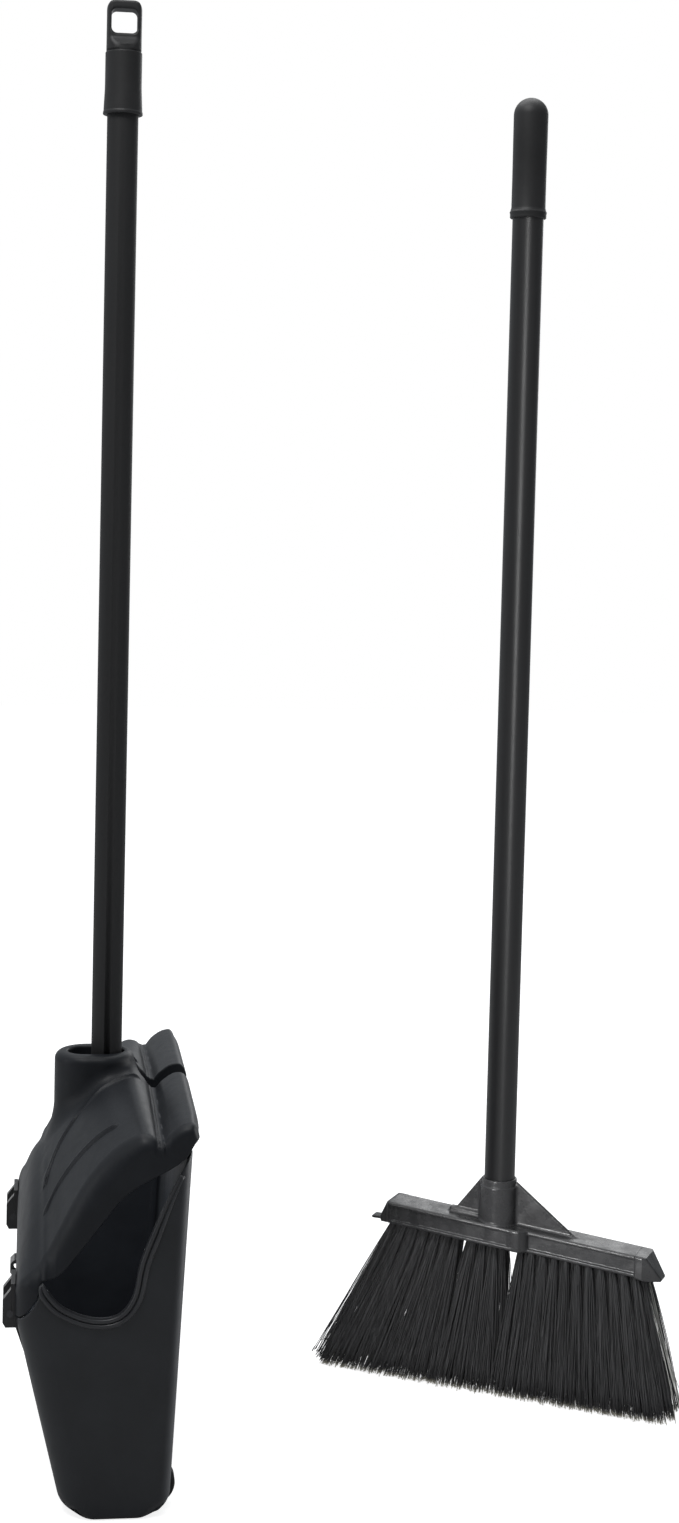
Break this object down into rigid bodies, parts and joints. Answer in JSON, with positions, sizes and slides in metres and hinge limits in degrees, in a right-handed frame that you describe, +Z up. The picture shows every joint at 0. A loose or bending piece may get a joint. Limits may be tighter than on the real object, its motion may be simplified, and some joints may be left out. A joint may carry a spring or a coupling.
{
  "type": "lobby dust pan and broom set",
  "caption": "Upright long-handled dust pan with a hinged hood over its mouth, and a separate long-handled broom with an angle-cut bristle head.",
  "frame": {"origin": "on the floor under the axis of the pan's handle, on the pan's flat base", "axes": "+Z up along the handles, +X towards the pan's floor plate and lip, Y across the pan"},
  "size_m": [0.5177, 0.3112, 1.044],
  "materials": {
    "pan_plastic": "fine moulded texture, satin",
    "cap_plastic": "smooth moulded, low sheen",
    "head_plastic": "moulded, slightly glossy",
    "wheel_plastic": "moulded",
    "tube_coat": "black powder coat, satin",
    "fastener_steel": "plated",
    "bristle_fibre": "synthetic filaments with flagged pale tips"
  },
  "bodies": {
    "handle": {"hang_cap": "cap_plastic", "pan_tube": "tube_coat", "hood": "pan_plastic", "socket_bushing": "cap_plastic", "socket_screw": "fastener_steel", "hinge_bracket_near": "cap_plastic", "hinge_bracket_far": "cap_plastic", "bracket_rivets": "fastener_steel", "hinge_pins": "fastener_steel"},
    "pan": {"pan_shell": "pan_plastic", "hinge_knuckle_near": "cap_plastic", "hinge_knuckle_far": "cap_plastic", "knuckle_rivets": "fastener_steel", "catch_loop": "cap_plastic", "wheel_pins": "fastener_steel"},
    "wheel_near": {"wheel_near": "wheel_plastic"},
    "wheel_far": {"wheel_far": "wheel_plastic"},
    "broom": {"broom_grip": "cap_plastic", "broom_tube": "tube_coat", "thread_plug": "cap_plastic", "broom_head": "head_plastic", "tuft_staples": "fastener_steel", "bristles_left": "bristle_fibre", "bristles_right": "bristle_fibre"}
  },
  "joints": [
    {"name": "pan_swing", "type": "hinge", "parent": "handle", "child": "pan", "pos_m": [-0.0665, 0, 0.137], "axis": [0, 1, 0], "range_deg": [0, 90]},
    {"name": "wheel_near_spin", "type": "hinge", "parent": "pan", "child": "wheel_near", "pos_m": [0.033, -0.118, 0.016], "axis": [0, 1, 0], "continuous": true},
    {"name": "wheel_far_spin", "type": "hinge", "parent": "pan", "child": "wheel_far", "pos_m": [0.033, 0.118, 0.016], "axis": [0, 1, 0], "continuous": true},
    {"name": "broom_lift", "type": "slide", "parent": "handle", "child": "broom", "axis": [0, 0, 1], "range_m": [0, 0.3]}
  ]
}
